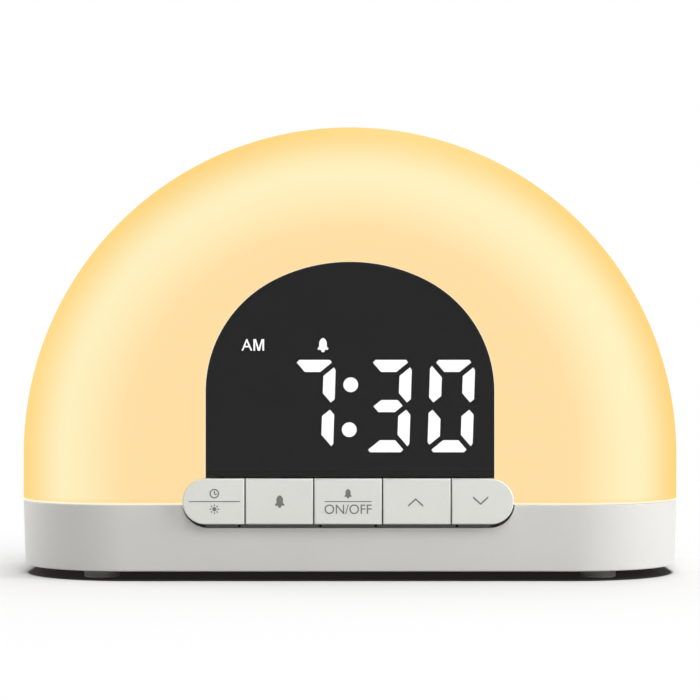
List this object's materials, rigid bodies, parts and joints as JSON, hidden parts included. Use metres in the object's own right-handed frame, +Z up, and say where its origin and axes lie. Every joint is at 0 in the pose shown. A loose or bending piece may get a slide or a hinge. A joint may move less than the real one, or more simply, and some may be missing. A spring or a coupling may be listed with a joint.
{
  "type": "sunrise alarm clock",
  "caption": "Sunrise alarm clock with a half-round glowing dome, a dark digital display, a row of front keys and a low base.",
  "frame": {"origin": "centre of the bounding box on the table plane, under the feet", "axes": "+Z up, front with the display and keys towards -Y, +X to the right seen from the front"},
  "size_m": [0.1788, 0.0772, 0.1217],
  "materials": {
    "dome": "satin, glowing warm yellow",
    "cover": "fine matte",
    "base": "fine matte",
    "key_caps": "fine matte with printed grey symbols",
    "smoked_window": "smooth smoked, satin",
    "black_plastic": "matte",
    "dark_plastic": "matte",
    "white_plastic": "matte white",
    "lit_white": "diffusing, glowing white",
    "unlit_grey": "diffusing, unlit",
    "green_board": "solder mask",
    "white_board": "white solder mask",
    "diode_yellow": "clear over yellow phosphor",
    "zinc_steel": "zinc plated",
    "screw_steel": "zinc plated",
    "cone_paper": "pressed paper",
    "ferrite": "ground ferrite",
    "foam": "foam",
    "foot_rubber": "translucent grey, matte",
    "contact_metal": "bright",
    "cell_steel": "nickel plated",
    "chip_black": "moulded",
    "can_aluminium": "printed sleeve",
    "wire_red": "insulation",
    "ribbon_grey": "flat ribbon insulation"
  },
  "bodies": {
    "clock": {"light_dome": "dome", "rear_cover": "cover", "rear_cover_screws": "screw_steel", "base_housing": "base", "base_plate": "base", "base_plate_screws": "screw_steel", "rubber_feet": "foot_rubber", "display_window": "smoked_window", "display_tunnel": "white_plastic", "tunnel_screws": "screw_steel", "display_block": "black_plastic", "lit_segments": "lit_white", "unlit_segments": "unlit_grey", "display_board": "green_board", "display_board_screws": "screw_steel", "key_frame": "dark_plastic", "key_frame_screws": "screw_steel", "key_board": "green_board", "key_board_screws": "screw_steel", "switch_bodies": "zinc_steel", "light_reflector": "white_plastic", "reflector_screws": "screw_steel", "light_board": "white_board", "light_diodes": "diode_yellow", "light_board_screws": "screw_steel", "speaker_gasket": "foam", "speaker_frame": "zinc_steel", "speaker_cone": "cone_paper", "speaker_magnet": "ferrite", "speaker_screws": "screw_steel", "main_board": "green_board", "board_chips": "chip_black", "board_capacitors": "can_aluminium", "main_board_screws": "screw_steel", "power_inlet": "black_plastic", "inlet_pin": "contact_metal", "backup_cell": "cell_steel", "cell_contacts": "contact_metal", "speaker_lead": "wire_red", "light_lead": "wire_red", "display_ribbon": "ribbon_grey", "key_ribbon": "ribbon_grey", "inlet_lead": "wire_red", "cell_lead": "wire_red"},
    "time_dimmer_key": {"key_time_dimmer": "key_caps", "stem_time_dimmer": "black_plastic"},
    "alarm_key": {"key_alarm": "key_caps", "stem_alarm": "black_plastic"},
    "alarm_on_off_key": {"key_alarm_on_off": "key_caps", "stem_alarm_on_off": "black_plastic"},
    "up_key": {"key_up": "key_caps", "stem_up": "black_plastic"},
    "down_key": {"key_down": "key_caps", "stem_down": "black_plastic"},
    "battery_door": {"cell_door": "base"}
  },
  "joints": [
    {"name": "time_dimmer_press", "type": "slide", "parent": "clock", "child": "time_dimmer_key", "axis": [0, 1, 0], "range_m": [0, 0.0005], "stiffness_N_per_m": 3000, "springref_m": -0.0001},
    {"name": "alarm_press", "type": "slide", "parent": "clock", "child": "alarm_key", "axis": [0, 1, 0], "range_m": [0, 0.0005], "stiffness_N_per_m": 3000, "springref_m": -0.0001},
    {"name": "alarm_on_off_press", "type": "slide", "parent": "clock", "child": "alarm_on_off_key", "axis": [0, 1, 0], "range_m": [0, 0.0005], "stiffness_N_per_m": 3000, "springref_m": -0.0001},
    {"name": "up_press", "type": "slide", "parent": "clock", "child": "up_key", "axis": [0, 1, 0], "range_m": [0, 0.0005], "stiffness_N_per_m": 3000, "springref_m": -0.0001},
    {"name": "down_press", "type": "slide", "parent": "clock", "child": "down_key", "axis": [0, 1, 0], "range_m": [0, 0.0005], "stiffness_N_per_m": 3000, "springref_m": -0.0001},
    {"name": "battery_door_turn", "type": "hinge", "parent": "clock", "child": "battery_door", "pos_m": [0.058, 0.0066, 0.003], "axis": [0, 0, -1], "range_deg": [0, 45]}
  ]
}
